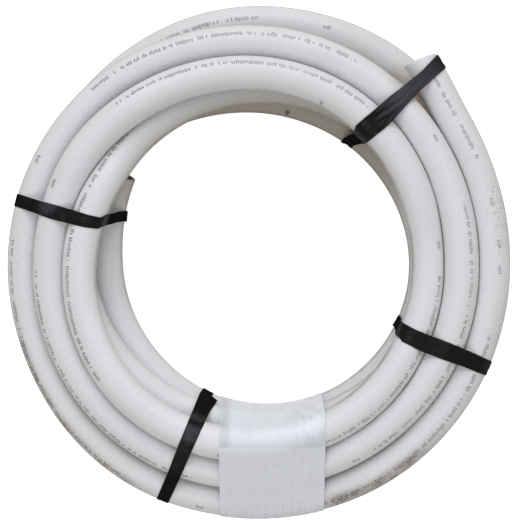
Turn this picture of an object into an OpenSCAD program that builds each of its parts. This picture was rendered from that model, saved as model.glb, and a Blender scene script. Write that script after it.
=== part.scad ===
// Coil of flexible PVC pipe: one pipe wound three turns across and three layers deep,
// held by four loops of tape and a sleeve of stretch film. It lies flat on the floor.
// Origin: on the floor, under the middle of the coil. +Z up.

/* [Pipe] */
// Outside diameter of the pipe
pipe_od = 48.3; // [40:0.1:60]
// Thickness of the pipe's wall, seen at its two open ends
pipe_wall = 3.9; // [2:0.1:6]

/* [Coil] */
// Outside diameter of the wound turns
coil_od = 720; // [600:5:900]
// Space between neighbouring turns of a layer
turn_gap = 0.3; // [0.2:0.1:2]
// Space between one layer and the next
layer_gap = 2; // [1.8:0.1:5]
// Angle past the left-hand side where the top layer's turns start to step in
step_lag = 20; // [16:1:30]

/* [Ends] */
// Bend radius of the outer end, which has sprung a little straighter than the turns
outer_end_bend = 384; // [350:1:600]
// Angle that the outer end turns through, up to its mouth
outer_end_angle = 63.2; // [40:0.1:70]
// How far the inner end stands in from the innermost turn, at the left-hand side
inner_end_inset = 19; // [10:1:40]
// Angle that the inner end turns through past the left-hand side, up to its mouth
inner_end_angle = 31; // [10:0.5:34]
// How deep the open bore goes in from each mouth
mouth_depth = 60; // [20:1:100]

/* [Tape] */
// Width of the tape
tape_w = 20; // [10:1:40]
// Thickness of a loop, several windings together
tape_t = 0.8; // [0.4:0.1:2]

/* [Film] */
// Width of the sleeve of stretch film
film_w = 148; // [80:1:200]
// How far the middle of the sleeve lies to the right of the coil's middle
film_x = 19; // [-20:1:60]
// Thickness of the sleeve, many windings together
film_t = 0.8; // [0.4:0.1:2]
// Space between the wrappings and the pipe
wrap_gap = 0.5; // [0.3:0.1:1]

/* [Hidden] */
$fn = 96;

pipe_r = pipe_od / 2;
bore_r = pipe_r - pipe_wall;
// Two bends meet at a hairline, over a core this long
joint_gap = 0.2;
core_r = pipe_r - 2;
core_length = 12;
turn_pitch = pipe_od + turn_gap;
layer_pitch = pipe_od + layer_gap;
// A turn of the top layer steps in by one pitch over half the coil: that half is bent
// about a centre moved by this much
step = turn_pitch / 2;

// Centre heights of the layers, bottom to top
layer_z = [for (i = [0:2]) max(tape_t, film_t) + wrap_gap + pipe_r + i * layer_pitch];
// Radii of the turns' centre lines, outermost first
turn_r = [for (i = [0:2]) coil_od / 2 - pipe_r - i * turn_pitch];

// Under the top layer a turn changes its column over a quarter of the coil, by two bends:
// the smaller is tighter than the innermost turn by this share of a step
change_share = 0.8;
change_bend = turn_r[2] - change_share * step;
// Angle past the left-hand side, backwards, where the middle layer's change starts:
// it clears the turn that sinks
change_lead = 30;

// Centre of the outer end's bend, before the lag
outer_end_c = [turn_r[0] - outer_end_bend, 0];
// Centre and radius of the innermost turn of the bottom layer, which runs on to the inner end
inner_half_cx = inner_end_inset / 2;
inner_half_r = turn_r[2] - inner_end_inset / 2;

// Hidden webs that join the turns to one another, across the near side
web_t = 4;
web_from = 220;
web_angle = 110;

// Angle of the turned sleeve before its edges are cut parallel
film_sector = 60;

pipe_color = [0.87, 0.87, 0.88];
tape_color = [0.03, 0.03, 0.035];
film_color = [0.82, 0.83, 0.88];

// A length of round pipe bent about the centre c at height z, counter-clockwise from a0.
// It stops a hair short of its neighbours, and a core inside joins it to the one at a0.
module bend(c, big, z, a0, angle, joined = true) {
    hair = joint_gap / 2 / big * 180 / PI;
    half_core = core_length / 2 / big * 180 / PI;
    translate([c[0], c[1], z]) {
        rotate([0, 0, a0 + hair])
            rotate_extrude(angle = angle - 2 * hair)
                translate([big, 0])
                    circle(r = pipe_r);
        if (joined)
            rotate([0, 0, a0 - half_core])
                rotate_extrude(angle = 2 * half_core)
                    translate([big, 0])
                        circle(r = core_r);
    }
}

// The open bore at the end of such a length, counter-clockwise from a0
module bore(c, big, z, a0, angle) {
    translate([c[0], c[1], z])
        rotate([0, 0, a0])
            rotate_extrude(angle = angle)
                translate([big, 0])
                    circle(r = bore_r);
}

// A change of column over a quarter has two bends: the radius of the second, at the far
// side, from the first's
function other_bend(r_from, r_to, first) =
    (r_to * r_to + (first - r_from) * (first - r_from) - first * first) / (2 * (r_to - first));

// A turn that changes column over a quarter: from the circle r_from, at the left-hand
// side, to r_to, at the far side. It has two bends; first is the radius of the left one.
module column_change(r_from, r_to, z, first) {
    second = other_bend(r_from, r_to, first);
    way = sign(second - first);
    joint = atan2(way * (second - r_to), way * (first - r_from));
    bend([first - r_from, 0], first, z, joint, 180 - joint);
    bend([0, r_to - second], second, z, 90, joint - 90);
}

// A turn that sinks over a quarter has two equal bends, each tilted: these give how far
// each turns, and its radius
function sink_angle(tilt) = atan(1 / cos(tilt));
function sink_bend(r, tilt) = r / (sin(sink_angle(tilt)) + (1 - cos(sink_angle(tilt))) * cos(tilt));
// The tilt that makes it sink by drop, found by repeated correction
function sink_tilt(r, drop, tilt = 15, tries = 12) =
    tries == 0 ? tilt
    : sink_tilt(r, drop, asin(drop / (2 * sink_bend(r, tilt) * (1 - cos(sink_angle(tilt))))), tries - 1);

// A turn of radius r that sinks from one height to the next, from the left-hand side to the far side
module sinking_quarter(r, z_from, z_to) {
    tilt = sink_tilt(r, z_from - z_to);
    turn = sink_angle(tilt);
    big = sink_bend(r, tilt);
    translate([-r + big * cos(tilt), 0, z_from - big * sin(tilt)])
        rotate([0, tilt, 0])
            bend([0, 0], big, 0, 180 - turn, turn);
    translate([0, r - big * cos(tilt), z_to + big * sin(tilt)])
        rotate([-tilt, 0, 0])
            bend([0, 0], big, 0, 90, turn);
}

// A whole turn that is closed on itself, out of sight under the top layer
module ring(big, z) {
    translate([0, 0, z])
        rotate_extrude()
            translate([big, 0])
                circle(r = pipe_r);
}

// The upper layer, wound inwards from the outer end; its turns step in over half the coil
module top_layer() {
    z = layer_z[2];
    rotate([0, 0, -step_lag]) {
        for (i = [0, 1]) {
            bend([0, 0], turn_r[i], z, 180, 180);
            bend([-step, 0], turn_r[i] - step, z, 0, 180);
        }
        bend(outer_end_c, outer_end_bend, z, 0, outer_end_angle);
    }
    bend([0, 0], turn_r[2], z, 180, 180 - step_lag);
}

// The middle layer, wound outwards under it
module middle_layer() {
    z = layer_z[1];
    bend([0, 0], turn_r[2], z, 180 + change_lead, 270 - change_lead);
    rotate([0, 0, change_lead]) {
        column_change(turn_r[2], turn_r[1], z, other_bend(turn_r[1], turn_r[2], change_bend));
        bend([0, 0], turn_r[1], z, 180, 270, false);
    }
    ring(turn_r[0], z);
}

// The bottom layer, wound inwards to the inner end
module bottom_layer() {
    z = layer_z[0];
    ring(turn_r[0], z);
    bend([0, 0], turn_r[1], z, 180, 270);
    column_change(turn_r[1], turn_r[2], z, change_bend);
    bend([0, 0], turn_r[2], z, 0, 90);
    bend([inner_half_cx, 0], inner_half_r, z, 180 - inner_end_angle, 180 + inner_end_angle, false);
}

// Webs that join the turns, in the middle of each pipe where nothing shows
module webs() {
    rotate([0, 0, web_from])
        rotate_extrude(angle = web_angle) {
            for (z = [layer_z[0], layer_z[1]])
                translate([turn_r[1], z - web_t / 2])
                    square([turn_pitch, web_t]);
            translate([turn_r[1] - web_t / 2, layer_z[0]])
                square([web_t, 2 * layer_pitch]);
        }
}

module pipe() {
    outer_bore = mouth_depth / outer_end_bend * 180 / PI;
    inner_bore = mouth_depth / inner_half_r * 180 / PI;
    color(pipe_color)
        difference() {
            union() {
                top_layer();
                sinking_quarter(turn_r[2], layer_z[2], layer_z[1]);
                middle_layer();
                bottom_layer();
                webs();
            }
            // the open bore at each end
            rotate([0, 0, -step_lag])
                bore(outer_end_c, outer_end_bend, layer_z[2], outer_end_angle - outer_bore, outer_bore + 1);
            bore([inner_half_cx, 0], inner_half_r, layer_z[0], 179 - inner_end_angle, inner_bore + 1);
        }
}

// Distance from p, along direction dir, to the centre line of a bend of radius big about c
function reach(c, big, p, dir) =
    let (
        along = (p[0] - c[0]) * cos(dir) + (p[1] - c[1]) * sin(dir),
        off = pow(norm([p[0] - c[0], p[1] - c[1]]), 2) - big * big
    )
    sqrt(along * along - off) - along;

// Outline that lies round a section of the coil: a belt round circles at the points, grown by d
module belt(points, d) {
    hull()
        for (p = points)
            translate(p)
                circle(r = pipe_r + d, $fn = 64);
}

// A loop of tape round the section: at angle phi round the coil, turned by slant from the radius.
// rests are the bends that it lies on, each as [centre, radius, layer]; it clears them at both its edges.
module tape_loop(phi, slant, rests) {
    dir = phi + slant;
    p = turn_r[1] * [cos(phi) - cos(dir), sin(phi) - sin(dir)];
    side = tape_w / 2 * [-sin(dir), cos(dir)];
    points = [for (b = rests, e = [-1, 0, 1]) [reach(b[0], b[1], p + e * side, dir), layer_z[b[2]]]];
    color(tape_color)
        translate([p[0], p[1], 0])
            rotate([90, 0, dir])
                linear_extrude(tape_w, center = true)
                    difference() {
                        belt(points, wrap_gap + tape_t);
                        belt(points, wrap_gap);
                    }
}

// Bends that the loops lie on: the outer turns, the inner turns, the stepping turn, and the two ends
out = [for (i = [0:2]) [[0, 0], turn_r[0], i]];
in = [for (i = [0:2]) [[0, 0], turn_r[2], i]];
stepping = [-step * [cos(step_lag), -sin(step_lag)], turn_r[1] - step, 2];
outer_end = [outer_end_c[0] * [cos(step_lag), -sin(step_lag)], outer_end_bend, 2];
inner_end = [[inner_half_cx, 0], inner_half_r, 0];

module band_left() {
    tape_loop(167, 0, [out[2], out[0], inner_end, in[2]]);
}

module band_top_right() {
    tape_loop(48.6, -5, [outer_end, out[0], in[0], in[1], stepping]);
}

module band_right() {
    tape_loop(-24, 0, [out[2], out[0], inner_end, in[1], in[2]]);
}

module band_bottom_left() {
    tape_loop(-113.3, 0, [out[2], out[0], inner_end, in[1], in[2]]);
}

// A sleeve of stretch film, turned with the coil and cut to parallel edges
module film_wrap() {
    film_left = film_x - film_w / 2;
    // the innermost place of the bottom layer under the film
    inner_r = norm([film_left, sqrt(inner_half_r * inner_half_r - pow(film_left - inner_half_cx, 2))]);
    points = [
        [turn_r[0], layer_z[2]],
        [turn_r[0], layer_z[0]],
        [inner_r, layer_z[0]],
        [turn_r[2], layer_z[1]],
        [turn_r[2], layer_z[2]]
    ];
    color(film_color)
        intersection() {
            rotate([0, 0, -90 - film_sector / 2])
                rotate_extrude(angle = film_sector)
                    difference() {
                        belt(points, wrap_gap + film_t);
                        belt(points, wrap_gap);
                    }
            translate([film_left, -coil_od, -1])
                cube([film_w, coil_od, layer_z[2] + 2 * pipe_od]);
        }
}

pipe();
band_left();
band_top_right();
band_right();
band_bottom_left();
film_wrap();
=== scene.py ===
import math
from functools import lru_cache

import bpy
import numpy as np
from bpy.props import FloatProperty, FloatVectorProperty, IntProperty, PointerProperty
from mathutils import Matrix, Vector


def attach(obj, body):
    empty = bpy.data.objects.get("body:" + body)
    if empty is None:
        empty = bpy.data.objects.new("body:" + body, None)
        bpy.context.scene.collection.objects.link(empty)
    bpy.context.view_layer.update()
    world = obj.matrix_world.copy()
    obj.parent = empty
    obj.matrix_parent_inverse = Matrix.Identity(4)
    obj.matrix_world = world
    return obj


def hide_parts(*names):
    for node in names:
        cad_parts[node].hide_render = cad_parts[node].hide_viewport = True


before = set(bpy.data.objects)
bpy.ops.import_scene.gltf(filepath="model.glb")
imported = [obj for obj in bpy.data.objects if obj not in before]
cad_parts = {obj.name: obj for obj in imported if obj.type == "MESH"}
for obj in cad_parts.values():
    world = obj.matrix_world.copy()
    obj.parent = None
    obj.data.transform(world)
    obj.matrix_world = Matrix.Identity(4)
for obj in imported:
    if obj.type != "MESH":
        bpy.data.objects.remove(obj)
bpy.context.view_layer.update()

bl_info = {
    "name": "Pipe Coil",
    "version": (1, 0, 0),
    "blender": (4, 5, 0),
    "location": "3D View > Sidebar > Pipe Coil",
    "description": "A coil of ribbed flexible pipe, tied with tape and stretch film",
    "category": "Object",
}

MM = 0.001
FLOOR_GAP = 0.00015

# ---------------------------------------------------------------- the winding
# The pipe is followed from its outer mouth, winding clockwise as seen from
# above. Each stop is (degrees wound, radius in mm, height above the lowest
# layer in mm). The outer mouth stands at 50 degrees round the coil.
MOUTH_ANGLE = 50.0
# Turns rest this share of a diameter apart, so each sinks a little into the next,
# where real pipe would flatten.
PRESSED = 0.965
TOP_LAYER = 101.5
CUT_SLANT = 0.2
CUT_SLANT_LENGTH = 0.05
CUT_BEVEL = 0.0006
MOUTH_DEPTH = 0.12
# The turns in sight nearly keep their place; the hidden ones between them give way.
FIRM_TO = 1040
FIRM_FROM = 2130
FIRMNESS = 0.85
PUSH_SHARE = 0.9
PUSH_EVENED = 8
LINE_EVENED = 3
# Parts of the line nearer than this many degrees, or points, count as one turn.
SAME_TURN_DEGREES = 100
SAME_TURN_POINTS = 50
# How far from a neighbouring turn the dirt and the painted shade start
CLOSE_REACH = 0.012
OUTER_TURN = [
    (-3, 371, 69),
    (2, 361, 72),
    (10, 346, 76),
    (24, 336, 83),
    (36, 332, 83),
    (48, 330, 82),
    (60, 332, 80),
    (85, 337, 71),
    (110, 342, 60),
    (150, 345, 50),
    (170, 347, 48),
    (190, 344, 48),
    (205, 340, 48),
    (232, 337, 48),
    (257, 333, 52),
    (282, 326, 62),
    (307, 316, 69),
    (332, 308, 76),
]
SECOND_TURN = [
    (357, 299, 81),
    (370, 293.5, 86),
    (395, 287, 94),
    (420, 287, 98),
    (445, 290, 91),
    (470, 295, 82),
    (510, 302, 75),
    (535, 304, 74),
    (565, 301, 76),
    (592, 296, 80),
    (617, 289, 87),
    (642, 279, 93),
    (667, 270, 94),
    (692, 261, 94),
    (717, 252, 96),
]
THIRD_TURN = [
    (742, 243.5, 94),
    (767, 242, 85),
    (792, 245, 90),
    (817, 249.5, 97),
    (850, 256, 100),
    (895, 263, 100),
    (910, 262.5, 100),
    (925, 259, 100),
    (952, 251, 100),
    (965, 248, 96),
    (990, 248, 78),
    (1015, 248.5, 58),
    (1040, 251, 47),
]
FOURTH_TURN = [
    (1080, 256, 43),
    (1130, 262, 39),
    (1175, 252, 44),
    (1230, 240, 47),
    (1255, 242, 47),
    (1285, 254, 46),
    (1303, 260, 45),
    (1359, 285, 38),
    (1400, 300, 28),
]
FIFTH_TURN = [
    (1440, 308, 32),
    (1490, 317, 42),
    (1535, 328, 27),
    (1580, 335, 0),
    (1670, 333, 0),
    (1700, 332, 2),
    (1722, 339, 8),
    (1747, 348, 12),
    (1772, 350, 10),
]
LOWEST_TURNS = [
    (1798, 349, 6),
    (1825, 335, 1),
    (1850, 312, 0),
    (1890, 293, 0),
    (1940, 284, 0),
    (1990, 285, 0),
    (2030, 285, 0),
    (2062, 274, 0),
    (2082, 261, 0),
    (2107, 247, 0),
    (2132, 240, 0),
    (2170, 240, 0),
    (2220, 246, 0),
    (2257, 242, 0),
    (2310, 232, 0),
    (2350, 223, 1),
    (2380, 222.5, 6),
    (2392, 223.5, 11),
    (2405, 228, 18),
    (2424, 241, 33),
]
STOPS = OUTER_TURN + SECOND_TURN + THIRD_TURN + FOURTH_TURN + FIFTH_TURN + LOWEST_TURNS
# the printed line wanders round the pipe: (degrees wound, degrees out from the crown)
PRINT_LINE = [
    (0, 3),
    (95, 24),
    (190, 50),
    (240, 40),
    (295, 23),
    (340, 25),
    (410, 28),
    (455, 38),
    (540, 50),
    (600, 46),
    (655, 33),
    (715, 30),
    (790, 34),
    (815, 41),
    (925, 42),
    (985, 32),
    (1500, 25),
    (1745, 7),
    (2424, 30),
]


def through(stops, at):
    """Heights of a smooth line through the stops, at the places asked for."""
    x = stops[:, 0]
    steps = np.diff(x)
    slopes = np.diff(stops[:, 1:], axis=0) / steps[:, None]
    lean = np.empty_like(stops[:, 1:])
    lean[0] = slopes[0]
    lean[-1] = slopes[-1]
    before, after = steps[:-1, None], steps[1:, None]
    lean[1:-1] = (slopes[:-1] * after + slopes[1:] * before) / (before + after)
    k = np.clip(np.searchsorted(x, at, side="right") - 1, 0, len(x) - 2)
    h = steps[k][:, None]
    s = ((at - x[k]) / steps[k])[:, None]
    start = stops[k, 1:] * (2 * s**3 - 3 * s**2 + 1) + lean[k] * h * (s**3 - 2 * s**2 + s)
    return start + stops[k + 1, 1:] * (3 * s**2 - 2 * s**3) + lean[k + 1] * h * (s**3 - s**2)


def evened(moves, passes):
    """The moves, spread along the line so that the pipe keeps its smooth bends."""
    for _ in range(passes):
        inner = (moves[:-2] + 2 * moves[1:-1] + moves[2:]) / 4
        first = (moves[:1] + moves[1:2]) / 2
        last = (moves[-1:] + moves[-2:-1]) / 2
        moves = np.concatenate([first, inner, last])
    return moves


def degrees_wound(step=2.0):
    first, last = STOPS[0][0], STOPS[-1][0]
    return np.linspace(first, last, int((last - first) / step) + 1)


@lru_cache(maxsize=4)
def wind(diameter, step=2.0, rounds=80):
    """Points along the pipe's centre, in metres, with its turns pushed apart until they rest."""
    stops = np.array(STOPS, float)
    wound = degrees_wound(step)
    radius, height = through(stops, wound).T
    angle = np.radians(MOUTH_ANGLE - wound)
    low = diameter / 2 + FLOOR_GAP
    line = np.stack(
        [
            radius * MM * np.cos(angle),
            radius * MM * np.sin(angle),
            np.maximum(height, 0) * MM + low,
        ],
        axis=1,
    )
    touch = diameter * PRESSED
    top = low + TOP_LAYER * MM
    held = 1 - FIRMNESS * ((wound < FIRM_TO) | (wound > FIRM_FROM))
    give = np.stack([held, held, np.ones_like(held)], axis=1)
    other_turn = np.abs(wound[:, None] - wound[None]) > SAME_TURN_DEGREES
    for _ in range(rounds):
        apart = line[:, None] - line[None]
        gap = np.sqrt((apart**2).sum(axis=2))
        short = np.where(other_turn, np.maximum(0, touch - gap), 0)
        push = (apart / np.maximum(gap, 1e-6)[:, :, None] * short[:, :, None]).sum(axis=1)
        count = np.maximum((short > 0).sum(axis=1), 1)[:, None]
        line = line + evened(push / count * give * PUSH_SHARE, PUSH_EVENED)
        line[:, 2] = np.clip(line[:, 2], low, top)
    return evened(line, LINE_EVENED)


def along(points):
    """Distance along the line at each of its points."""
    return np.concatenate([[0], np.cumsum(np.linalg.norm(np.diff(points, axis=0), axis=1))])


def unit(vectors):
    return vectors / np.linalg.norm(vectors, axis=-1, keepdims=True)


def drift(x, seed, waves, shortest, longest):
    """A smooth wandering value, a sum of a few sines between two wavelengths."""
    rng = np.random.default_rng(seed)
    total = np.zeros_like(x)
    for _ in range(waves):
        length = rng.uniform(shortest, longest)
        total = total + np.sin(2 * math.pi * x / length + rng.uniform(0, 2 * math.pi))
    return total / math.sqrt(waves)


# ------------------------------------------------------------ material wrapper
class Value:
    """One number in a material, with Python's arithmetic on it."""

    def __init__(self, net, socket):
        self.net = net
        self.socket = socket

    def __add__(self, other):
        return self.net.math("ADD", self, other)

    def __sub__(self, other):
        return self.net.math("SUBTRACT", self, other)

    def __mul__(self, other):
        return self.net.math("MULTIPLY", self, other)

    def __truediv__(self, other):
        return self.net.math("DIVIDE", self, other)

    def __pow__(self, other):
        return self.net.math("POWER", self, other)

    def __gt__(self, other):
        return self.net.math("GREATER_THAN", self, other)

    def __lt__(self, other):
        return self.net.math("LESS_THAN", self, other)

    def __radd__(self, other):
        return self.net.math("ADD", other, self)

    def __rsub__(self, other):
        return self.net.math("SUBTRACT", other, self)

    def __rmul__(self, other):
        return self.net.math("MULTIPLY", other, self)

    def __rtruediv__(self, other):
        return self.net.math("DIVIDE", other, self)

    def floor(self):
        return self.net.math("FLOOR", self)

    def fract(self):
        return self.net.math("FRACT", self)

    def size(self):
        return self.net.math("ABSOLUTE", self)

    def wave(self):
        return self.net.math("SINE", self)

    def least(self, other):
        return self.net.math("MINIMUM", self, other)

    def most(self, other):
        return self.net.math("MAXIMUM", self, other)

    def ramp(self, low, high):
        """0 below low, 1 above high, smooth between them."""
        made = self.net.node(
            "ShaderNodeMapRange",
            {"interpolation_type": "SMOOTHSTEP"},
            {"Value": self, "From Min": low, "From Max": high},
        )
        return Value(self.net, made.outputs[0])


class Net:
    """A material being wired."""

    def __init__(self, name):
        self.material = bpy.data.materials.new(name)
        self.material.use_nodes = True
        self.tree = self.material.node_tree
        self.tree.nodes.clear()
        self.output = self.tree.nodes.new("ShaderNodeOutputMaterial")

    def node(self, kind, settings=None, sockets=None):
        made = self.tree.nodes.new(kind)
        for name, value in (settings or {}).items():
            setattr(made, name, value)
        for name, value in (sockets or {}).items():
            socket = made.inputs[name]
            if isinstance(value, Value):
                self.tree.links.new(value.socket, socket)
            elif isinstance(value, bpy.types.NodeSocket):
                self.tree.links.new(value, socket)
            else:
                socket.default_value = value
        return made

    def math(self, operation, *values):
        made = self.node(
            "ShaderNodeMath", {"operation": operation}, dict(enumerate(values))
        )
        return Value(self, made.outputs[0])

    def colour(self, amount, first, second):
        """The first colour with this share of the second mixed in."""
        made = self.node(
            "ShaderNodeMix", {"data_type": "RGBA"}, {0: amount, 6: first, 7: second}
        )
        return made.outputs[2]

    def place(self):
        return self.node("ShaderNodeTexCoord").outputs["Object"]

    def chart(self):
        """The piece's own UV map, as two values."""
        uv = self.node("ShaderNodeUVMap", {"uv_map": "UVMap"}).outputs[0]
        split = self.node("ShaderNodeSeparateXYZ", None, {0: uv})
        return Value(self, split.outputs[0]), Value(self, split.outputs[1])

    def marked(self, name):
        """A number kept on the mesh's points."""
        return Value(self, self.node("ShaderNodeAttribute", {"attribute_name": name}).outputs["Fac"])

    def point(self, x, y, z=0.0):
        return self.node("ShaderNodeCombineXYZ", None, {0: x, 1: y, 2: z}).outputs[0]

    def split(self, vector):
        parts = self.node("ShaderNodeSeparateXYZ", None, {0: vector}).outputs
        return [Value(self, part) for part in parts]

    def noise(self, vector, scale, detail=2.0, roughness=0.5):
        made = self.node(
            "ShaderNodeTexNoise",
            {"noise_dimensions": "3D"},
            {"Vector": vector, "Scale": scale, "Detail": detail, "Roughness": roughness},
        )
        return Value(self, made.outputs[0])

    def near(self, x, y, middle, inner, outer):
        """1 close to a place seen from above, 0 away from it."""
        off_x = x - middle[0]
        off_y = y - middle[1]
        away = (off_x * off_x + off_y * off_y) ** 0.5
        return 1 - away.ramp(inner, outer)

    def random(self, vector):
        made = self.node(
            "ShaderNodeTexWhiteNoise", {"noise_dimensions": "3D"}, {"Vector": vector}
        )
        return Value(self, made.outputs[0])

    def bump(self, height, distance, strength=1.0, under=None):
        sockets = {"Height": height, "Distance": distance, "Strength": strength}
        if under is not None:
            sockets["Normal"] = under
        return self.node("ShaderNodeBump", None, sockets).outputs[0]

    def finish(self, dull=None, **sockets):
        """Joins the values to the surface; dull, where given, is the share that has no shine."""
        names = {key.replace("_", " "): value for key, value in sockets.items()}
        shader = self.node("ShaderNodeBsdfPrincipled", None, names).outputs[0]
        if dull is not None:
            matt = {"Base Color": sockets["Base_Color"], "Roughness": 1.0, "Specular IOR Level": 0.0}
            plain = self.node("ShaderNodeBsdfPrincipled", None, matt).outputs[0]
            shader = self.node("ShaderNodeMixShader", None, {0: dull, 1: shader, 2: plain}).outputs[0]
        self.tree.links.new(shader, self.output.inputs["Surface"])
        return self.material


def rgb(colour):
    return (*colour[:3], 1.0)


# -------------------------------------------------------------- mesh helpers
def grid_piece(name, points, charts, closed_across=False):
    """A mesh of rows of points, each row joined to the next, with its UV map."""
    rows, columns = points.shape[:2]
    mesh = bpy.data.meshes.new(name)
    faces = []
    corners = []
    across = columns if closed_across else columns - 1
    for i in range(rows - 1):
        for j in range(across):
            k = (j + 1) % columns
            this, following = i * columns, (i + 1) * columns
            faces.append((this + j, this + k, following + k, following + j))
            corners += [charts[i, j], charts[i, j + 1], charts[i + 1, j + 1], charts[i + 1, j]]
    mesh.from_pydata(points.reshape(-1, 3).tolist(), [], faces)
    layer = mesh.uv_layers.new(name="UVMap")
    layer.data.foreach_set("uv", np.array(corners, dtype=np.float32).ravel())
    mesh.polygons.foreach_set("use_smooth", [True] * len(faces))
    mesh.update()
    made = bpy.data.objects.new(name, mesh)
    bpy.context.scene.collection.objects.link(made)
    return made


def alone(piece):
    """Makes the piece the only selected and active one."""
    bpy.ops.object.select_all(action="DESELECT")
    piece.select_set(True)
    bpy.context.view_layer.objects.active = piece


def thicken(piece, thickness):
    """Grows the sheet outwards into a closed shell."""
    alone(piece)
    shell = piece.modifiers.new("wall", "SOLIDIFY")
    shell.thickness = thickness
    shell.offset = 1.0
    shell.use_even_offset = True
    bpy.ops.object.modifier_apply(modifier=shell.name)


def settings():
    return bpy.context.scene.pipe_coil


# ------------------------------------------------------------------- the pipe
def frames(line):
    """The way along, the way out and the way up at each point of the line."""
    forward = unit(np.gradient(line, axis=0))
    outward = unit(line * np.array([1, 1, 0]))
    outward = unit(outward - forward * (outward * forward).sum(axis=1)[:, None])
    upward = np.cross(outward, forward)
    upward = upward * np.sign(upward[:, 2:3])
    return forward, outward, upward


def tube_rings(line, radius, sides):
    """Rings round the line, turned so that the printed line runs along one side."""
    _, outward, upward = frames(line)
    degrees, print_side = np.array(PRINT_LINE, float).T
    twist = np.radians(np.interp(degrees_wound(), degrees, print_side))
    turn = np.linspace(-math.pi, math.pi, sides, endpoint=False)
    turn = (turn[None] + twist[:, None])[:, :, None]
    ring = np.cos(turn) * upward[:, None] + np.sin(turn) * outward[:, None]
    return line[:, None] + radius * ring


def closeness(line, rings, radius, reach):
    """1 where the pipe touches another of its turns, 0 where that turn is further than reach."""
    close = np.zeros(rings.shape[:2])
    place = np.arange(len(line))
    for k, ring in enumerate(rings):
        others = line[np.abs(place - k) > SAME_TURN_POINTS]
        gap = np.sqrt(((ring[:, None] - others[None]) ** 2).sum(axis=2)).min(axis=1) - radius
        close[k] = 1 - np.clip(gap / reach, 0, 1)
    return close


def pipe_mesh(name, line, radius, wall, sides, mouth_depth):
    """The pipe's skin, its two cut faces and its bore as deep as light reaches."""
    length = along(line)
    deep = int(np.searchsorted(length, mouth_depth))
    outer = tube_rings(line, radius, sides)
    inner = tube_rings(line, radius - wall, sides)
    edge = tube_rings(line, radius - CUT_BEVEL, sides)
    # the outer end was cut off a little askew
    fade = np.clip(1 - length / CUT_SLANT_LENGTH, 0, 1)[:, None, None] * CUT_SLANT
    forward, outward, _ = frames(line)
    for rings in (outer, inner, edge):
        aside = ((rings - line[:, None]) * outward[:, None]).sum(axis=2, keepdims=True)
        rings += forward[:, None] * aside * fade
    start = unit(line[1] - line[0])
    stop = unit(line[-1] - line[-2])
    outer[0] += start * CUT_BEVEL
    outer[-1] -= stop * CUT_BEVEL
    rows = [inner[k] for k in range(deep, -1, -1)]
    marks = [length[k] for k in range(deep, -1, -1)]
    rows.append(edge[0])
    marks.append(0.0)
    rows += list(outer)
    marks += list(length)
    rows.append(edge[-1])
    marks.append(length[-1])
    last = len(line) - 1
    rows += [inner[last - k] for k in range(deep + 1)]
    marks += [length[last - k] for k in range(deep + 1)]
    points = np.array(rows)
    # how near a neighbour is, and how far the skin faces out of the coil
    close = closeness(line, outer, radius, CLOSE_REACH)
    from_middle = unit(line * [1, 1, 0])[:, None]
    facing = (unit(outer - line[:, None]) * from_middle).sum(axis=2)
    blank = np.zeros((deep + 2, sides))
    marked = {
        "close": np.concatenate([blank, close, blank]).ravel(),
        "facing": np.concatenate([blank, facing, blank]).ravel(),
    }
    charts = np.empty((len(rows), sides + 1, 2))
    charts[:, :, 0] = np.array(marks)[:, None]
    charts[:, :, 1] = np.linspace(0, 1, sides + 1)[None]
    made = grid_piece(name, points, charts, closed_across=True)
    for label, values in marked.items():
        layer = made.data.attributes.new(label, "FLOAT", "POINT")
        layer.data.foreach_set("value", values.astype(np.float32))
    return made


class COIL_OT_pipe(bpy.types.Operator):
    """Winds the ribbed pipe, with open cut ends"""

    bl_idname = "coil.pipe"
    bl_label = "Wound pipe"

    def execute(self, context):
        size = settings()
        radius = size.pipe_diameter / 2
        line = wind(size.pipe_diameter)
        made = pipe_mesh("wound_pipe", line, radius, size.pipe_wall, size.pipe_sides, MOUTH_DEPTH)
        alone(made)
        bpy.ops.object.mode_set(mode="EDIT")
        bpy.ops.mesh.select_all(action="DESELECT")
        bpy.ops.mesh.select_non_manifold()
        bpy.ops.mesh.edge_face_add()
        bpy.ops.mesh.select_all(action="SELECT")
        bpy.ops.mesh.normals_make_consistent(inside=False)
        bpy.ops.object.mode_set(mode="OBJECT")
        bpy.ops.object.shade_smooth_by_angle(angle=math.radians(50))
        made.data.materials.append(pipe_material(size))
        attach(made, "root")
        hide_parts("pipe")
        return {"FINISHED"}


# Tints of the dirt, the marks, the print and the painted light and shade
PAINTED_LIGHT_TINT = (0.92, 0.93, 0.96, 1)
RIB_SHADE_TINT = (0.5, 0.5, 0.52, 1)
SMEAR_TINT = (0.42, 0.41, 0.40, 1)
SPECK_TINT = (0.23, 0.21, 0.2, 1)
INK_TINT = (0.09, 0.09, 0.11, 1)
DUST_AND_SHADE_TINT = (0.46, 0.39, 0.30, 1)
GAP_DIRT_AND_SHADE_TINT = (0.50, 0.37, 0.28, 1)
BY_MOUTH_TINT = (0.58, 0.53, 0.45, 1)
LINE_TINT = (0.20, 0.135, 0.085, 1)
SUNK_SHADE_AND_DUST_TINT = (0.36, 0.315, 0.25, 1)
EDGE_DIRT_AND_SHADE_TINT = (0.25, 0.19, 0.12, 1)
SCUFF_TINT = (0.33, 0.29, 0.24, 1)
GRIME_TINT = (0.15, 0.10, 0.055, 1)
SPOT_TINT = (0.05, 0.045, 0.045, 1)
# Where they lie, seen from above: (x, y), full within the first radius, gone at the second
GAP_PLACE = ((0.236, 0.229), 0.008, 0.036)
BY_MOUTH_PLACE = ((0.206, 0.260), 0.008, 0.034)
CORNER_PLACE = ((0.165, -0.320), 0.055, 0.130)
LEFT_PLACE = ((-0.29, -0.23), 0.10, 0.20)
SPOT_PLACE = ((0.0418, 0.2175), 0.002, 0.0045)
FAINT_SPOT_PLACE = ((0.088, 0.222), 0.001, 0.004)
# One stroke of the print and the gap after it; strokes to a word
CELL = 0.0029
WORD = 17


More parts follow.
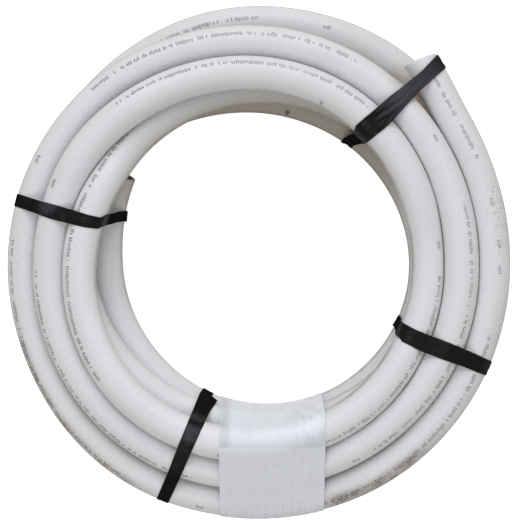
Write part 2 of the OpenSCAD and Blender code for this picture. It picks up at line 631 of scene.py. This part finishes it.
def pipe_material(size):
    net = Net("ribbed_pvc")
    run, around = net.chart()
    place = net.place()
    x, y, z = net.split(place)
    close = net.marked("close")
    facing = net.marked("facing")
    rib = ((run / size.rib_pitch + around) * 2 * math.pi).wave()
    clean = rgb(size.pipe_colour)
    shade = rgb([c * 0.93 for c in size.pipe_colour])
    cloudy = net.noise(place, 9.0, 3.0, 0.6)
    tone = net.colour(cloudy.ramp(0.35, 0.75) * 0.5, clean, shade)
    # the rib grooves are painted slightly darker, a painted shade in the recesses
    groove = (rib * -1).ramp(0.2, 1.0)
    clear = net.noise(place, 6.0, 1.0, 0.5).ramp(0.35, 0.65) * 0.6 + 0.4
    tone = net.colour(groove * clear * 0.06, tone, RIB_SHADE_TINT)
    smear = net.noise(net.point(run * 0.5, around * 0.6, 5.0), 70.0, 3.0, 0.6)
    tone = net.colour(smear.ramp(0.6, 0.8) * 0.25, tone, SMEAR_TINT)
    speck = net.noise(net.point(run * 1.0, around * 0.15, 0.0), 260.0, 1.0, 0.4)
    tone = net.colour(speck.ramp(0.73, 0.78) * 0.5, tone, SPECK_TINT)
    # the printed line: plain strokes, close together for most of each length
    across = (around - 0.5) * math.pi * size.pipe_diameter
    later = run > size.print_again
    spell = ((run + size.print_start + later * size.print_slip) / size.print_length).fract()
    dense = spell < 0.6
    cell = run / CELL
    number = cell.floor()
    tall = net.random(net.point(number, 1.0, 0.0)) * 0.0016 + 0.0018
    inked = net.random(net.point(number, 3.0, 0.0)) > 0.22
    word = (cell / WORD).fract() > 0.09
    stroke = (cell.fract() - 0.5).size() < 0.34
    raised = net.random(net.point(number, 6.0, 0.0)) * 0.0016 - 0.0008
    letter = 1 - ((across + raised).size() - tall).ramp(-0.0006, 0.0006)
    rare = net.random(net.point((cell / 4).floor(), 5.0, 0.0)) > 0.9
    written = dense * inked * word + (1 - dense) * rare
    ink = stroke * letter * written.least(1.0) * (run > 0.032)
    ink = ink * (1 - (run > size.print_end) * (run < size.print_again)) * (run < size.print_again + 1.0)
    fade = net.noise(net.point(run, 9.0, 0.0), 12.0, 2.0, 0.5).ramp(0.25, 0.6) * 0.3 + 0.3
    fade = fade + x.ramp(0.05, -0.15) * 0.15
    tone = net.colour(ink * fade, tone, INK_TINT)
    # dust and brown dirt in the grooves, with warm painted shade beside each neighbouring turn, most of
    # it on the right, least at the back;
    # the inner turns at the front left carry less dirt and are painted paler, a painted light where they
    # face the lamp
    out = (x * x + y * y) ** 0.5
    patchy = net.noise(place, 17.0, 3.0, 0.6).ramp(0.35, 0.65)
    front = 1 - y.ramp(0.14, 0.27)
    right = x.ramp(0.0, 0.2)
    # a mask that keeps dirt off the front left inner turns; the next line paints them paler, a painted
    # light
    clean_painted_light_side = 1 - x.ramp(0.1, -0.1) * (y * -1).ramp(0.0, 0.1) * (1 - out.ramp(0.24, 0.262)) * 0.85
    tone = net.colour((1 - clean_painted_light_side) * 0.55, tone, PAINTED_LIGHT_TINT)
    gap = net.near(x, y, *GAP_PLACE)
    low = 1 - z.ramp(0.085, 0.115)
    # dust, and a warm painted shade, near each neighbouring turn
    dust_and_shade = close.ramp(0.4, 1.0) * (patchy * 0.24 + 0.08) * (front * 0.7 + 0.3) * clean_painted_light_side
    tone = net.colour(dust_and_shade, tone, DUST_AND_SHADE_TINT)
    # brown painted shade, with some dirt, where the outer end lifts off the turn beneath at the top
    # right; it also strengthens the groove line there
    tone = net.colour(gap * low * 0.85, tone, GAP_DIRT_AND_SHADE_TINT)
    by_mouth = net.near(x, y, *BY_MOUTH_PLACE)
    tone = net.colour(by_mouth * 0.45, tone, BY_MOUTH_TINT)
    seam = x.ramp(-0.15, -0.25) * (1 - (out - 0.272).size().ramp(0.006, 0.014))
    line = (patchy * 0.4 + right * 0.2 + 0.35) * front * out.ramp(0.245, 0.262) + gap * 0.35 + seam * 0.6
    line = close.ramp(0.82, 0.98) * line.least(0.85) * clean_painted_light_side
    tone = net.colour(line, tone, LINE_TINT)
    # painted shade, with some dust, on the low turns at the back inside the hole
    sunk_shade_and_dust = (1 - z.ramp(0.055, 0.13)) * y.ramp(0.0, 0.17) * (1 - out.ramp(0.262, 0.290))
    tone = net.colour(sunk_shade_and_dust * 0.9, tone, SUNK_SHADE_AND_DUST_TINT)
    # a brown outline at both edges of the coil, partly dirt and partly painted shade where the skin
    # turns away, and scuffs and grime on the outside
    dirt = net.noise(place, 21.0, 4.0, 0.65)
    rim = facing.ramp(0.84, 1.0) * out.ramp(0.31, 0.33)
    rim = rim.most((facing * -1).ramp(0.84, 1.0) * (1 - out.ramp(0.238, 0.248)) * clean_painted_light_side)
    corner = net.near(x, y, *CORNER_PLACE)
    left = net.near(x, y, *LEFT_PLACE)
    # the outline is dirt and painted shade along the edges
    edge_dirt_and_shade = rim * (dirt.ramp(0.4, 0.7) * 0.4 + corner.most(left * 0.8) * 0.35 + 0.3)
    tone = net.colour(edge_dirt_and_shade, tone, EDGE_DIRT_AND_SHADE_TINT)
    outside = out.ramp(0.315, 0.338)
    zone = net.noise(place, 7.0, 1.0, 0.5).ramp(0.46, 0.6)
    scuff = net.noise(net.point(run * 2.6, around * 0.3, 8.0), 90.0, 4.0, 0.65).ramp(0.46, 0.66)
    scuff = scuff * zone * outside * facing.ramp(-0.5, 0.5) * (1 - y.ramp(0.15, 0.25) * 0.7)
    tone = net.colour(scuff * (right * 0.24 + 0.16), tone, SCUFF_TINT)
    left = left * facing.ramp(0.35, 0.85) * 0.9
    speckled = net.noise(net.point(run * 2.0, around * 0.4, 3.0), 130.0, 4.0, 0.75).ramp(0.44, 0.58)
    blotch = net.noise(place, 34.0, 2.0, 0.6).ramp(0.40, 0.62)
    grime = (corner * facing.ramp(-0.1, 0.7)).most(left) * (blotch * 0.5 + 0.5)
    grime = grime * (speckled * 0.5 + 0.5) * out.ramp(0.322, 0.334)
    tone = net.colour(grime, tone, GRIME_TINT)
    spots = net.near(x, y, *SPOT_PLACE)
    spots = spots.most(net.near(x, y, *FAINT_SPOT_PLACE) * 0.6)
    tone = net.colour(spots * 0.85, tone, SPOT_TINT)
    normal = net.bump(rib * clear, 0.0004, 0.26)
    normal = net.bump(cloudy, 0.002, 0.25, normal)
    return net.finish(
        Base_Color=tone,
        Roughness=cloudy * 0.12 + 0.36,
        Normal=normal,
        IOR=1.5,
    )


# ------------------------------------------------------------ tape and film
def crossings(line, spot, way, course):
    """Where the pipe passes through an upright surface: (place along way, height, stretch)."""
    flat = line[:, :2] - spot[None]
    normal = np.array([-way[1], way[0]])
    off = flat @ normal - course(flat @ way)
    hits = []
    for i in np.nonzero(off[:-1] * off[1:] < 0)[0]:
        t = off[i] / (off[i] - off[i + 1])
        point = line[i] + t * (line[i + 1] - line[i])
        place = (point[:2] - spot) @ way
        if BAND_REACH[0] < place < BAND_REACH[1]:
            forward = unit(line[i + 1] - line[i])
            hits.append((place, point[2], 1 / max(0.3, abs(forward[:2] @ normal))))
    return hits


def hull(points):
    """The outline round a set of points, anticlockwise."""
    points = points[np.lexsort((points[:, 1], points[:, 0]))]

    def chain(run):
        kept = []
        for p in run:
            while len(kept) > 1:
                a, b = kept[-2], kept[-1]
                if (b[0] - a[0]) * (p[1] - a[1]) - (b[1] - a[1]) * (p[0] - a[0]) > 0:
                    break
                kept.pop()
            kept.append(p)
        return kept[:-1]

    return np.array(chain(points) + chain(points[::-1]))


def spaced(path, distance, count):
    """So many points along the path in a plane, evenly apart."""
    even = np.linspace(0, distance[-1], count)
    return np.stack(
        [np.interp(even, distance, path[:, 0]), np.interp(even, distance, path[:, 1])], axis=1
    )


def loop_round(hits, radius, count, start, sag):
    """A taut loop round the pipe's turns in one plane, evenly spaced from its start."""
    turn = np.linspace(0, 2 * math.pi, 96, endpoint=False)
    rounds = []
    for place, height, stretch in hits:
        rounds.append(
            np.stack([place + radius * stretch * np.cos(turn), height + radius * np.sin(turn)], axis=1)
        )
    ring = hull(np.concatenate(rounds))
    ring = np.concatenate([ring, ring[:1]])
    distance = along(ring)
    path = spaced(ring, distance, LOOP_FINE)
    # free spans dip a little towards the grooves
    centres = np.array([(h[0], h[1]) for h in hits])
    spread = np.array([h[2] for h in hits])
    gaps = []
    for p in path:
        d = p[None] - centres
        d[:, 0] = d[:, 0] / spread
        gaps.append(np.linalg.norm(d, axis=1).min() - radius)
    free = np.maximum(0, np.array(gaps))
    way = unit(np.gradient(path, axis=0))
    inward = np.stack([-way[:, 1], way[:, 0]], axis=1)
    path = path + inward * (free * sag)[:, None]
    path[:, 1] = np.maximum(path[:, 1], FLOOR_GAP + 0.0001)
    middle = path[:-1].mean(axis=0)
    bearing = np.arctan2(path[:-1, 1] - middle[1], path[:-1, 0] - middle[0])
    first = int(np.argmin(np.abs((bearing - start + math.pi) % (2 * math.pi) - math.pi)))
    path = np.concatenate([path[first:-1], path[: first + 1]])
    distance = along(path)
    return spaced(path, distance, count), distance[-1]


def upright(place, height, share):
    """No slant, whatever the height."""
    return place * 0.0


def wrap(line, spot, way, course, rows, count, clearance, radius, start, sag, slant=upright):
    """Points of a belt round the turns, row by row across its width, and its length."""
    way = np.array(way, float)
    normal = np.array([-way[1], way[0]])
    spot = np.array(spot, float)
    belt = []
    lengths = []
    for share in np.linspace(-0.5, 0.5, rows):
        hits = crossings(line, spot, way, lambda place: course(place, share))
        loop, length = loop_round(hits, radius + clearance, count, start, sag)
        aside = course(loop[:, :1], share) + slant(loop[:, :1], loop[:, 1:2], share)
        point = spot[None] + way[None] * loop[:, :1] + normal[None] * aside
        belt.append(np.concatenate([point, loop[:, 1:2]], axis=1))
        lengths.append(length)
    return np.array(belt), float(np.mean(lengths))


class Band:
    """One tie of tape: where it sits, how it runs across the turns and how creased it is."""

    def __init__(self, node, spot, way, creases, seed, stops, drop=(0.0, 0.0), fold=0.0):
        self.node = node
        self.spot = spot
        self.way = way
        self.creases = creases
        self.seed = seed
        self.stops = np.array(stops, float)
        self.drop = drop
        self.fold = fold

    def slant(self, place, height, share):
        """How far aside and how much narrower the tape gets down the coil's inner side."""
        down = np.clip((DROP_TOP - height) / (DROP_TOP - DROP_END), 0, 1)
        inside = np.clip((DROP_INSIDE - place) / 0.05, 0, 1)
        return (self.drop[0] + share * self.drop[1]) * MM * down * inside

    def course(self, place, share):
        """How far aside a line along the tape runs, at each place out from the middle."""
        out, aside, width = self.stops.T
        return (np.interp(place / MM, out, aside) + share * np.interp(place / MM, out, width)) * MM


# Each tape: node, angle round the coil, direction across the turns, creases, seed,
# then (mm out from the middle, mm aside, width in mm). Near the middle of the coil
# the tapes turn aside or narrow where they drop over the top turn.
MID_RING = 0.29
LOOP_START = -1.5
LOOP_FINE = 1201
LOOP_POINTS = 300
TAPE_ROWS = 19
TAPE_WIDTH = 0.02
TAPE_THICKNESS = 0.0003
TAPE_SAG = 0.12
CREASE_HEIGHT = 0.00022
FILM_ROWS = 75
FILM_GAP = 0.0009
FILM_SAG = 0.05
PLEAT_HEIGHT = 0.00016
CROSS_HEIGHT = 0.00014
ABOVE_FLOOR = 0.0001
BAND_REACH = (0.17, 0.42)
DROP_TOP = 0.125
DROP_END = 0.045
DROP_INSIDE = 0.28
BANDS = [
    Band(
        "band_left",
        167.3,
        166.5,
        0.5,
        3,
        [
            (200, -24.5, 15.5),
            (212, -18.9, 16),
            (222.5, -10.5, 16.5),
            (229, -4, 16.3),
            (246, -2.7, 18),
            (268, -3.5, 20),
            (298, -4.3, 20.5),
            (320, -5.7, 19),
            (356, -8.6, 18),
        ],
    ),
    Band(
        "band_top_right",
        48.0,
        42.3,
        1.1,
        5,
        [
            (207, 3, 20),
            (222, 3.5, 22),
            (230, 6, 28.5),
            (255, 4.7, 29),
            (275, 4.6, 28),
            (295, 5.7, 25.5),
            (310, 5.8, 22.5),
            (330, 5.8, 20.5),
            (352, 5.2, 19),
            (384, 6.7, 21.5),
        ],
        drop=(8.5, -3.0),
        fold=0.0016,
    ),
    Band(
        "band_right",
        -23.8,
        -23.4,
        0.5,
        8,
        [
            (215, -6, 20),
            (223, -7.2, 21),
            (229, -9.3, 23.5),
            (240, -10, 23.5),
            (258, -10.4, 25.4),
            (290, -8.9, 25.2),
            (321, -7.8, 23.5),
            (355, -7.6, 21.8),
        ],
        drop=(9.0, -3.0),
    ),
    Band(
        "band_bottom_left",
        -113.6,
        -112.2,
        0.7,
        13,
        [
            (203, 10.8, 15.8),
            (208.3, 9.5, 18),
            (210.3, 14.2, 28),
            (223, 12, 23.3),
            (250, 11, 21.2),
            (285, 10.5, 20.2),
            (320, 10.5, 19),
            (371, 9.1, 17.5),
        ],
    ),
]


def outward_from(belt):
    """The way out of the belt at each of its points."""
    along_way = unit(np.gradient(belt, axis=1))
    across_way = unit(np.gradient(belt, axis=0))
    out = unit(np.cross(along_way, across_way))
    if ((belt - belt.mean(axis=(0, 1))) * out).sum() < 0:
        out = -out
    return out


def measured(belt, length, width):
    """Distances along the belt and across it, at its points."""
    rows, count = belt.shape[:2]
    return np.linspace(0, length, count)[None], np.linspace(0, width, rows)[:, None]


def closed_belt(name, points, s, t):
    """A mesh of the belt with its two ends joined, and its distances as UV map."""
    charts = np.empty((s.shape[1], t.shape[0], 2))
    charts[:, :, 0] = s.T
    charts[:, :, 1] = t.T
    made = grid_piece(name, points.transpose(1, 0, 2), charts)
    alone(made)
    bpy.ops.object.mode_set(mode="EDIT")
    bpy.ops.mesh.select_all(action="SELECT")
    bpy.ops.mesh.remove_doubles(threshold=1e-6)
    bpy.ops.mesh.normals_make_consistent(inside=False)
    bpy.ops.object.mode_set(mode="OBJECT")
    return made


def belt_piece(name, belt, length, thickness, creases, seed, fold):
    """A closed belt of tape through the rows of points, pulled into light creases."""
    width = TAPE_WIDTH
    s, t = measured(belt, length, width)
    out = outward_from(belt)
    rough = drift(t * 1.0 + s * 0.13, seed, 5, 0.004, 0.02)
    rough = rough + drift(t - s * 0.21, seed + 1, 4, 0.006, 0.03)
    height = CREASE_HEIGHT * creases * (rough - rough.min())
    rim = np.minimum(1, np.minimum(s, length - s) / 0.01)
    points = belt + out * (height * rim)[:, :, None]
    if fold:
        # one slanting fold where the tape was twisted, a valley beside a ridge
        place = np.hypot(belt[:, :, 0], belt[:, :, 1])
        off = (t / width - 0.5) - (-0.05 + 0.26 * (0.300 - place) / 0.042)
        there = np.exp(-(((place - 0.278) / 0.018) ** 2)) * (belt[:, :, 2] > 0.12)
        shape = 0.8 * np.exp(-(((off + 0.2) / 0.09) ** 2)) - np.exp(-((off / 0.08) ** 2))
        points += out * (fold * there * (shape + 0.9))[:, :, None]
    points[:, :, 2] = np.maximum(points[:, :, 2], thickness + ABOVE_FLOOR)
    made = closed_belt(name, points, s, t)
    thicken(made, thickness)
    return made


class COIL_OT_tape(bpy.types.Operator):
    """Ties the coil with four bands of glossy tape"""

    bl_idname = "coil.tape"
    bl_label = "Tape bands"

    def execute(self, context):
        size = settings()
        line = wind(size.pipe_diameter)
        material = tape_material(size)
        for band in BANDS:
            angle = math.radians(band.spot)
            lean = math.radians(band.way)
            middle = np.array([math.cos(angle), math.sin(angle)]) * MID_RING
            way = np.array([math.cos(lean), math.sin(lean)])
            belt, length = wrap(
                line,
                middle - way * MID_RING,
                way,
                band.course,
                TAPE_ROWS,
                LOOP_POINTS,
                size.tape_gap,
                size.pipe_diameter / 2,
                LOOP_START,
                TAPE_SAG,
                slant=band.slant,
            )
            name = "tape_" + band.node.replace("band_", "")
            made = belt_piece(
                name, belt, length, TAPE_THICKNESS, band.creases, band.seed, band.fold
            )
            made.data.materials.append(material)
            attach(made, "root")
            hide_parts(band.node)
        return {"FINISHED"}


def tape_material(size):
    net = Net("glossy_tape")
    run, across = net.chart()
    place = net.place()
    stretch = net.noise(net.point(run * 0.25, across, 0.0), 220.0, 2.0, 0.5)
    crumple = net.noise(place, 38.0, 2.0, 0.5)
    x, y, z = net.split(place)
    # scratches, plus a painted sheen on the top right tape and painted highlights on the bottom left and
    # left tapes
    wear_and_sheen = crumple.ramp(0.58, 0.74) * 0.5
    wear_and_sheen = wear_and_sheen.most(net.near(x, y, (0.225, 0.262), 0.04, 0.085))
    wear_and_sheen = wear_and_sheen.most(net.near(x, y, (-0.0945, -0.2395), 0.004, 0.016))
    wear_and_sheen = wear_and_sheen.most(net.near(x, y, (-0.296, 0.080), 0.006, 0.02))
    tone = net.colour(wear_and_sheen, rgb(size.tape_colour), (0.036, 0.039, 0.049, 1))
    dull = 1 - z.ramp(0.105, 0.135)
    tone = net.colour(dull * 0.8, tone, (0.013, 0.012, 0.011, 1))
    normal = net.bump(stretch, 0.0004, 0.25)
    normal = net.bump(crumple, 0.0012, 0.25, normal)
    # it shines on top and is dull where it hangs down
    return net.finish(
        dull=dull,
        Base_Color=tone,
        Roughness=crumple * 0.12 + 0.28,
        Normal=normal,
        IOR=1.33,
        Specular_IOR_Level=0.4,
    )


class COIL_OT_film(bpy.types.Operator):
    """Wraps the sleeve of stretch film round the turns"""

    bl_idname = "coil.film"
    bl_label = "Film sleeve"

    def execute(self, context):
        size = settings()
        line = wind(size.pipe_diameter)
        belt, length = wrap(
            line,
            (size.film_middle, 0.0),
            (0.0, -1.0),
            lambda place, share: share * size.film_width + place * 0,
            FILM_ROWS,
            LOOP_POINTS,
            FILM_GAP,
            size.pipe_diameter / 2,
            LOOP_START,
            FILM_SAG,
        )
        s, t = measured(belt, length, size.film_width)
        wrinkle = drift(t + 0.02 * np.sin(s * 9), 21, 7, 0.004, 0.016)
        slanting = drift(t * 0.7 + s * 0.5, 34, 5, 0.007, 0.02)
        height = PLEAT_HEIGHT * (wrinkle - wrinkle.min()) + CROSS_HEIGHT * (slanting - slanting.min())
        rim = np.minimum(1, np.minimum(s, length - s) / 0.02)
        points = belt + outward_from(belt) * (height * rim)[:, :, None]
        points[:, :, 2] = np.maximum(points[:, :, 2], ABOVE_FLOOR)
        made = closed_belt("film_sleeve", points, s, t)
        made.data.materials.append(film_material(size))
        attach(made, "root")
        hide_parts("film_wrap")
        return {"FINISHED"}


FILM_INNER_PAINTED_LIGHT_TINT = (0.90, 0.93, 1.0, 1)
PLEAT_SHADE_TINT = (0.55, 0.56, 0.60, 1)
FILM_FOLD_SHADE_TINT = (0.42, 0.43, 0.48, 1)
FILM_CREASE_SHADE_TINT = (0.50, 0.51, 0.56, 1)
FILM_THINNING = 0.6


def film_material(size):
    net = Net("stretch_film")
    run, across = net.chart()
    place = net.place()
    x, y, _ = net.split(place)
    pull = net.noise(net.point(run * 0.10, across, 0.0), 110.0, 3.0, 0.5)
    fine = net.noise(net.point(run * 0.06, across, 2.0), 300.0, 2.0, 0.5)
    # the film colour stands for the lit crown; the shaded inner side and the outer slope turned from the
    # lamp are painted paler, a painted light
    outer = (y * -1).ramp(0.2545, 0.2610)
    out = (x * x + y * y) ** 0.5
    inner = (1 - out.ramp(0.236, 0.262)) * (1 - outer)
    tone = net.colour(outer, rgb(size.film_colour), rgb(size.film_outer_painted_light_colour))
    tone = net.colour(inner, tone, FILM_INNER_PAINTED_LIGHT_TINT)
    tone = net.colour(pull.ramp(0.4, 0.7) * 0.16, tone, rgb([c * 0.75 for c in size.film_colour]))
    # the pleats near the outer edge are painted darker, a painted shade in their folds
    pleats = net.noise(net.point(run * 0.05, across, 6.0), 240.0, 2.0, 0.5).ramp(0.45, 0.6)
    tone = net.colour(pleats * (y * -1).ramp(0.325, 0.355) * 0.22, tone, PLEAT_SHADE_TINT)
    # a thin painted shade along the fold where the outer part of the film begins
    edge = (1 - ((y * -1) - 0.2580).size().ramp(0.0005, 0.0045)) * 0.07
    tone = net.colour(edge, tone, FILM_FOLD_SHADE_TINT)
    # the creases at the right corner are painted darker, a painted shade in their folds
    corner = x.ramp(0.0, 0.07) * (1 - outer)
    crease = net.noise(net.point(run * 0.35 + across, across * 0.3 - run * 0.25, 9.0), 85.0, 1.0, 0.4)
    tone = net.colour(crease.ramp(0.5, 0.62) * corner * 0.18, tone, FILM_CREASE_SHADE_TINT)
    normal = net.bump(pull, 0.0020, 0.35)
    normal = net.bump(fine, 0.0006, 0.25, normal)
    normal = net.bump(crease * (corner * 0.5 + 0.15), 0.0030, 0.4, normal)
    # over the inner turns the film's left edge is thinner and lets more through
    thin = (1 - x.ramp(-0.054, -0.036)) * (1 - outer)
    cover = (pull.ramp(0.3, 0.7) * 0.04 + size.film_cover) * (1 - thin * FILM_THINNING)
    return net.finish(
        Base_Color=tone,
        Roughness=fine * 0.15 + 0.46,
        Alpha=cover,
        Normal=normal,
        IOR=1.35,
    )


# ------------------------------------------------------------------ the stage
FLOOR_SIZE = 14.0
FLOOR_TINT = (0.74, 0.70, 0.65, 1)
SKY_TINT = (1.0, 0.985, 0.96, 1)
LAMP_TINT = (0.95, 0.975, 1.0)
# Each lamp: name, place, side, share of the main power
LAMPS = (
    ("key", (-0.2, 4.1, 3.7), 5.0, 1.0),
    ("fill", (-0.25, -0.9, 1.5), 1.0, 0.030),
)
SENSOR = 36.0
# The level that the camera looks at, a little under the coil's top
VIEW_LEVEL = 0.1


def aim(thing, target):
    to = Vector(target) - thing.location
    thing.rotation_euler = to.to_track_quat("-Z", "Y").to_euler()


class COIL_OT_stage(bpy.types.Operator):
    """Sets out the floor, the soft lights and the camera above the coil"""

    bl_idname = "coil.stage"
    bl_label = "Floor, lights and camera"

    def execute(self, context):
        size = settings()
        scene = context.scene
        bpy.ops.object.select_all(action="DESELECT")
        bpy.ops.mesh.primitive_plane_add(size=FLOOR_SIZE, location=(0, 0, 0))
        floor = context.object
        floor.name = "floor"
        net = Net("pale_floor")
        rays = net.node("ShaderNodeLightPath").outputs
        seen = Value(net, rays["Is Camera Ray"]).most(Value(net, rays["Is Transmission Ray"]))
        paper = net.node("ShaderNodeBsdfDiffuse", None, {"Color": FLOOR_TINT}).outputs[0]
        glow = net.node(
            "ShaderNodeEmission", None, {"Color": (1, 1, 1, 1), "Strength": seen * size.floor_glow}
        )
        both = net.node("ShaderNodeAddShader", None, {0: paper, 1: glow.outputs[0]}).outputs[0]
        net.tree.links.new(both, net.output.inputs["Surface"])
        floor.data.materials.append(net.material)

        world = bpy.data.worlds.new("studio")
        world.use_nodes = True
        tree = world.node_tree
        sky = tree.nodes["Background"]
        sky.inputs["Color"].default_value = SKY_TINT
        white = tree.nodes.new("ShaderNodeMath")
        white.operation = "MAXIMUM"
        white.inputs[1].default_value = size.room_light
        tree.links.new(tree.nodes.new("ShaderNodeLightPath").outputs["Is Camera Ray"], white.inputs[0])
        tree.links.new(white.outputs[0], sky.inputs["Strength"])
        scene.world = world

        for name, place, side, share in LAMPS:
            lamp = bpy.data.lights.new(name, "AREA")
            lamp.shape = "SQUARE"
            lamp.size = side
            lamp.energy = size.key_power * share
            lamp.color = LAMP_TINT
            thing = bpy.data.objects.new(name, lamp)
            scene.collection.objects.link(thing)
            thing.location = place
            aim(thing, (0, 0, 0.05))

        eye = bpy.data.cameras.new("camera")
        eye.sensor_width = SENSOR
        eye.lens = SENSOR * size.camera_height / size.view_width
        eye.dof.use_dof = False
        camera = bpy.data.objects.new("camera", eye)
        scene.collection.objects.link(camera)
        tilt = math.radians(size.camera_tilt)
        target = Vector((size.view_right, size.view_up, VIEW_LEVEL))
        camera.location = target + size.camera_height * Vector((0, -math.sin(tilt), math.cos(tilt)))
        camera.rotation_euler = (tilt, 0, 0)
        eye.clip_end = 30
        scene.camera = camera
        scene.view_settings.view_transform = "Standard"
        return {"FINISHED"}


# ------------------------------------------------------- settings and sidebar
class CoilSettings(bpy.types.PropertyGroup):
    """Sizes and colours of the coil that a user would change"""

    pipe_diameter: FloatProperty(
        name="Pipe diameter", description="Outside diameter of the pipe", default=0.0483, unit="LENGTH"
    )
    pipe_wall: FloatProperty(
        name="Pipe wall", description="Thickness of the pipe's wall", default=0.0039, unit="LENGTH"
    )
    pipe_sides: IntProperty(
        name="Pipe sides",
        description="Facets round the pipe",
        default=40,
        min=16,
        max=64,
    )
    rib_pitch: FloatProperty(
        name="Rib pitch", description="Spacing of the fine ribs", default=0.0036, unit="LENGTH"
    )
    print_length: FloatProperty(
        name="Print length",
        description="Length after which the printed line repeats",
        default=0.624,
        unit="LENGTH",
    )
    print_start: FloatProperty(
        name="Print start",
        description="Length of print missing before the mouth",
        default=0.212,
        unit="LENGTH",
    )
    print_end: FloatProperty(
        name="Print end",
        description="Length after which the print is out of sight",
        default=5.35,
        unit="LENGTH",
    )
    print_again: FloatProperty(
        name="Print again",
        description="Length after which a metre of it shows once more",
        default=8.6,
        unit="LENGTH",
    )
    print_slip: FloatProperty(
        name="Print slip", description="How far that print is moved along", default=0.50, unit="LENGTH"
    )
    pipe_colour: FloatVectorProperty(
        name="Pipe colour",
        description="Colour of the clean pipe",
        default=(0.75, 0.76, 0.785),
        subtype="COLOR",
        size=3,
    )
    tape_gap: FloatProperty(
        name="Tape gap", description="Room between the tape and the pipe", default=0.0006, unit="LENGTH"
    )
    tape_colour: FloatVectorProperty(
        name="Tape colour",
        description="Colour of the tape",
        default=(0.0035, 0.0035, 0.004),
        subtype="COLOR",
        size=3,
    )
    film_width: FloatProperty(
        name="Film width", description="Width of the film sleeve", default=0.148, unit="LENGTH"
    )
    film_middle: FloatProperty(
        name="Film place",
        description="Middle of the film sleeve across the coil",
        default=0.019,
        unit="LENGTH",
    )
    film_cover: FloatProperty(
        name="Film cover",
        description="Least share that the film hides, away from its thin left edge",
        default=0.95,
    )
    film_colour: FloatVectorProperty(
        name="Film colour",
        description="Colour of the film over the inner turns",
        default=(0.70, 0.725, 0.78),
        subtype="COLOR",
        size=3,
    )
    # painted paler than the film colour, a painted light on the slope turned away from the lamp
    film_outer_painted_light_colour: FloatVectorProperty(
        name="Outer film colour",
        description="Colour of the film over the outer turns",
        default=(0.78, 0.80, 0.86),
        subtype="COLOR",
        size=3,
    )
    camera_height: FloatProperty(
        name="Camera distance",
        description="From the level looked at up to the camera",
        default=2.2,
        unit="LENGTH",
    )
    camera_tilt: FloatProperty(
        name="Camera tilt", description="Degrees away from straight down", default=0.0
    )
    view_width: FloatProperty(
        name="View width", description="Width seen at the level looked at", default=0.739, unit="LENGTH"
    )
    view_right: FloatProperty(
        name="View right", description="Shift of the view to the right", default=0.002, unit="LENGTH"
    )
    view_up: FloatProperty(
        name="View up", description="Shift of the view upwards", default=0.002, unit="LENGTH"
    )
    room_light: FloatProperty(
        name="Room light",
        description="Strength of the light all round",
        default=0.49,
    )
    key_power: FloatProperty(
        name="Key lamp",
        description="Power of the main lamp",
        default=168.0,
        unit="POWER",
    )
    floor_glow: FloatProperty(
        name="Floor white",
        description="Extra white of the floor where seen",
        default=0.80,
    )


class COIL_PT_panel(bpy.types.Panel):
    """Lists the coil's pieces and settings"""

    bl_label = "Pipe Coil"
    bl_idname = "COIL_PT_panel"
    bl_space_type = "VIEW_3D"
    bl_region_type = "UI"
    bl_category = "Pipe Coil"

    def draw(self, context):
        for kind in OPERATORS:
            self.layout.operator(kind.bl_idname)
        for name in CoilSettings.__annotations__:
            self.layout.prop(context.scene.pipe_coil, name)


OPERATORS = (COIL_OT_stage, COIL_OT_pipe, COIL_OT_tape, COIL_OT_film)


def register():
    bpy.utils.register_class(CoilSettings)
    for kind in OPERATORS:
        bpy.utils.register_class(kind)
    bpy.utils.register_class(COIL_PT_panel)
    bpy.types.Scene.pipe_coil = PointerProperty(type=CoilSettings)


def unregister():
    del bpy.types.Scene.pipe_coil
    bpy.utils.unregister_class(COIL_PT_panel)
    for kind in reversed(OPERATORS):
        bpy.utils.unregister_class(kind)
    bpy.utils.unregister_class(CoilSettings)


def main():
    register()
    bpy.ops.coil.stage()
    bpy.ops.coil.pipe()
    bpy.ops.coil.tape()
    bpy.ops.coil.film()


if __name__ == "__main__":
    main()
